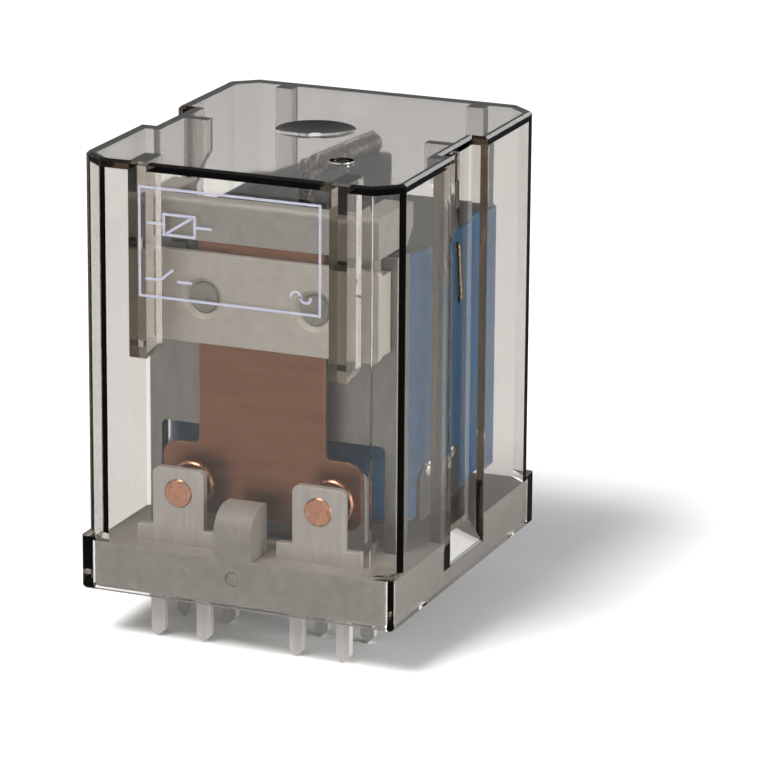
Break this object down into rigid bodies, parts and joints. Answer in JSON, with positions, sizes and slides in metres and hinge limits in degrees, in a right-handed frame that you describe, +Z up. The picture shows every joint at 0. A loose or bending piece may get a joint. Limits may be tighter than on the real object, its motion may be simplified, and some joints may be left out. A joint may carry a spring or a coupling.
{
  "type": "plug in relay",
  "caption": "Power relay in a smoked clear cover: clapper armature over a taped coil rocks a copper bridge between fixed contacts; pointed pins below plug into a board.",
  "frame": {"origin": "centre of the base's underside, in the plane that the base and the cover's rim stand on", "axes": "+Z up from that plane to the cover's top, pins along -Z; the contact bridge and front terminals face -Y; +X to the right as seen from the front"},
  "size_m": [0.0324, 0.0366, 0.0476],
  "materials": {
    "clear_plastic": "smoked clear polycarbonate, polished",
    "grey_plastic": "warm grey moulded plastic, satin",
    "dark_plastic": "dark grey moulded plastic",
    "carrier_plastic": "light grey moulded plastic",
    "cream_plastic": "cream moulded plastic",
    "blue_tape": "blue polyester tape, slightly glossy",
    "copper": null,
    "contact_metal": "copper contact rivets, lightly polished",
    "tinned_metal": "tin-plated strip, dull bright",
    "steel": "dark soft iron, thin plating",
    "zinc_steel": "plated soft iron, satin grey",
    "spring_steel": "bright drawn spring wire",
    "wire": "enamelled copper wire"
  },
  "bodies": {
    "housing": {"cover": "clear_plastic", "base": "grey_plastic", "front_terminal_left": "tinned_metal", "front_terminal_right": "tinned_metal", "rear_terminal_left": "tinned_metal", "rear_terminal_right": "tinned_metal", "coil_terminal_left": "tinned_metal", "coil_terminal_right": "tinned_metal", "front_contact_left": "contact_metal", "front_contact_right": "contact_metal", "rear_contact_left": "contact_metal", "rear_contact_right": "contact_metal", "yoke": "zinc_steel", "core": "steel", "bobbin": "dark_plastic", "coil_winding": "copper", "coil_tape": "blue_tape", "coil_lead_left": "wire", "coil_lead_right": "wire", "coil_start_wire": "wire", "coil_end_wire": "wire", "spring_anchor": "spring_steel"},
    "armature_set": {"armature": "steel", "contact_carrier": "carrier_plastic", "clamp_bar": "cream_plastic", "clamp_peg_left": "carrier_plastic", "clamp_peg_right": "carrier_plastic", "contact_bridge": "copper", "moving_contact_left": "contact_metal", "moving_contact_right": "contact_metal", "return_spring": "spring_steel"}
  },
  "joints": [
    {"name": "armature_pivot", "type": "hinge", "parent": "housing", "child": "armature_set", "pos_m": [0, -0.0097, 0.0338], "axis": [-1, 0, 0], "range_deg": [0, 3.5], "stiffness_Nm_per_rad": 0.03, "springref_deg": -14.32, "deforming": ["return_spring"]}
  ]
}
